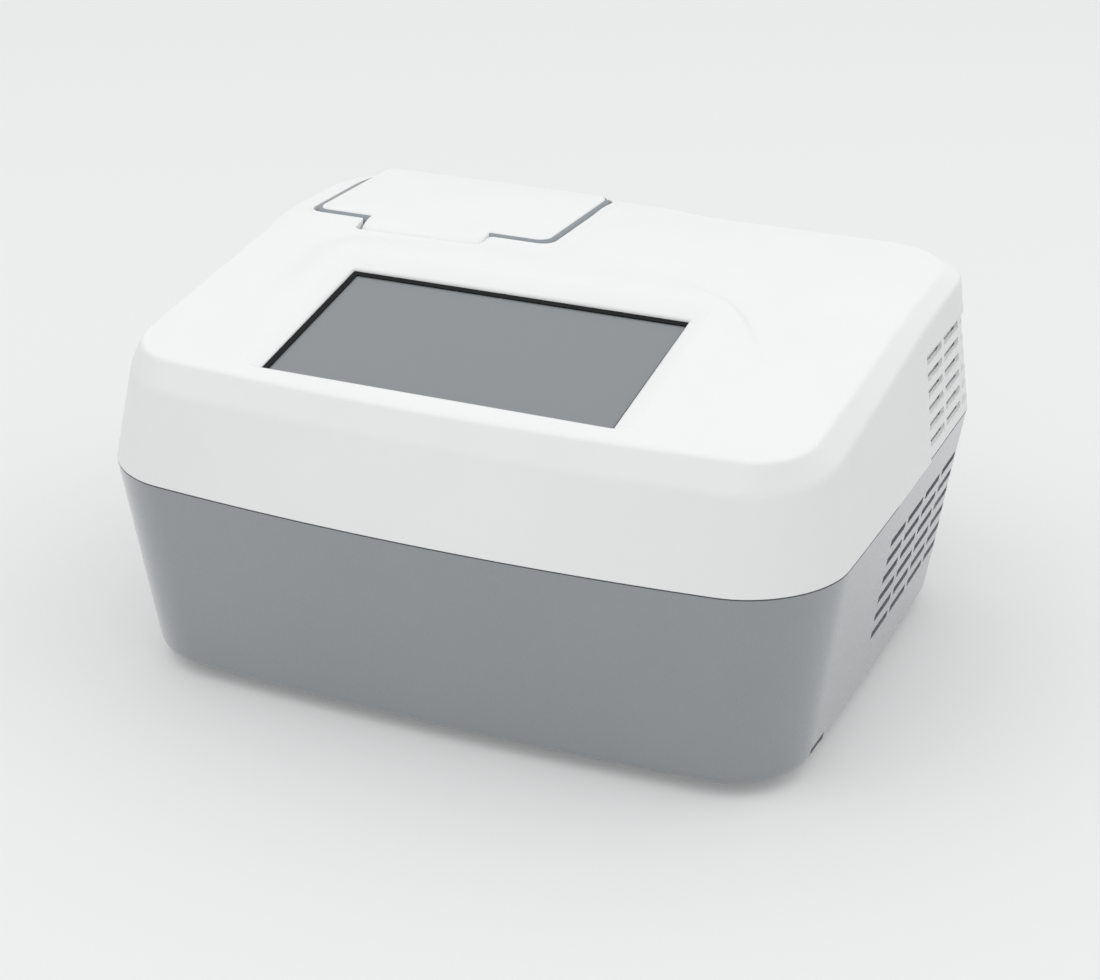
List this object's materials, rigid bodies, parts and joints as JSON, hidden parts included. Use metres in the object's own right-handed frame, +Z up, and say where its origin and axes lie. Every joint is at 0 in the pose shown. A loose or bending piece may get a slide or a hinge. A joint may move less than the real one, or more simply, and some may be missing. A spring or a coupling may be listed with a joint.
{
  "type": "real-time pcr instrument",
  "caption": "Bench-top thermal cycler with fluorescence reading, a tilted touch display and a hinged lid over its sample block.",
  "frame": {"origin": "centre of the bounding box's footprint, on the surface that the feet stand on", "axes": "+X to the right and +Y to the rear as seen from the display side, +Z up"},
  "size_m": [0.325, 0.26, 0.1703],
  "materials": {
    "white_shell": "satin moulded",
    "grey_shell": "fine moulded texture",
    "rim_grey": "satin moulded",
    "black_plastic": "moulded",
    "black_rubber": "matte",
    "display_face": "matte anti-glare",
    "machined_aluminium": "machined",
    "bright_steel": "ground",
    "sheet_steel": "folded sheet",
    "pin_brass": "plated",
    "board_green": "solder mask",
    "ceramic_white": "ceramic",
    "silicone_grey": "matte",
    "foam_dark": "closed-cell foam",
    "heater_amber": "polyimide film",
    "lens_glass": "polished"
  },
  "bodies": {
    "base": {"block_insulation": "foam_dark", "chamber_tray": "rim_grey", "display_bracket": "sheet_steel", "display_gasket": "black_rubber", "display_glass": "display_face", "display_module": "sheet_steel", "display_screw_1": "bright_steel", "display_screw_2": "bright_steel", "display_screw_3": "bright_steel", "display_screw_4": "bright_steel", "fan_duct": "black_plastic", "fan_frame": "black_plastic", "foot_1": "black_rubber", "foot_2": "black_rubber", "foot_3": "black_rubber", "foot_4": "black_rubber", "heat_pump_1": "ceramic_white", "heat_pump_2": "ceramic_white", "heat_sink": "machined_aluminium", "hinge_pin": "bright_steel", "housing_screw_1": "bright_steel", "housing_screw_2": "bright_steel", "housing_screw_3": "bright_steel", "housing_screw_4": "bright_steel", "inlet_pin_1": "pin_brass", "inlet_pin_2": "pin_brass", "inlet_pin_3": "pin_brass", "lower_housing": "grey_shell", "main_board": "board_green", "network_socket": "sheet_steel", "optics_bracket": "machined_aluminium", "power_inlet": "black_plastic", "power_supply": "sheet_steel", "rear_panel": "sheet_steel", "sample_block": "machined_aluminium", "scan_motor": "black_plastic", "scan_rail_1": "bright_steel", "scan_rail_2": "bright_steel", "switch_body": "black_plastic", "upper_housing": "white_shell", "usb_socket": "sheet_steel"},
    "lid": {"lid_cover": "white_shell", "lid_frame": "rim_grey", "lid_seal": "silicone_grey", "guide_post_1": "bright_steel", "guide_post_2": "bright_steel", "plate_spring_1": "bright_steel", "plate_spring_2": "bright_steel", "lid_magnet_1": "bright_steel", "lid_magnet_2": "bright_steel"},
    "heated_plate": {"heated_plate": "machined_aluminium", "heater_mat": "heater_amber"},
    "fan_rotor": {"fan_rotor": "black_plastic"},
    "rocker": {"switch_rocker": "black_plastic"},
    "carriage": {"scan_carriage": "black_plastic", "scan_lens": "lens_glass", "detector_board": "board_green"},
    "lead_screw": {"lead_screw": "bright_steel"}
  },
  "joints": [
    {"name": "lid_hinge", "type": "hinge", "parent": "base", "child": "lid", "pos_m": [-0.0741, 0.1113, 0.1648], "axis": [-1, 0, 0], "range_deg": [0, 85]},
    {"name": "plate_slide", "type": "slide", "parent": "lid", "child": "heated_plate", "axis": [0, 0, 1], "range_m": [0, 0.0025], "stiffness_N_per_m": 800, "springref_m": -0.003, "deforming": ["plate_spring_1", "plate_spring_2"]},
    {"name": "fan_spin", "type": "hinge", "parent": "base", "child": "fan_rotor", "pos_m": [-0.0741, 0.0715, 0.07], "axis": [0, 0, 1], "continuous": true},
    {"name": "rocker_tilt", "type": "hinge", "parent": "base", "child": "rocker", "pos_m": [0.076, 0.11305, 0.047], "axis": [-1, 0, 0], "range_deg": [0, 12.5]},
    {"name": "carriage_slide", "type": "slide", "parent": "base", "child": "carriage", "axis": [1, 0, 0], "range_m": [0, 0.063]},
    {"name": "screw_turn", "type": "hinge", "parent": "base", "child": "lead_screw", "pos_m": [-0.0741, 0.026, 0.1145], "axis": [1, 0, 0], "range_deg": [0, 2836]}
  ],
  "couplings": [
    {"joint": "screw_turn", "follows": "carriage_slide", "rad_per_m": 785.4}
  ]
}
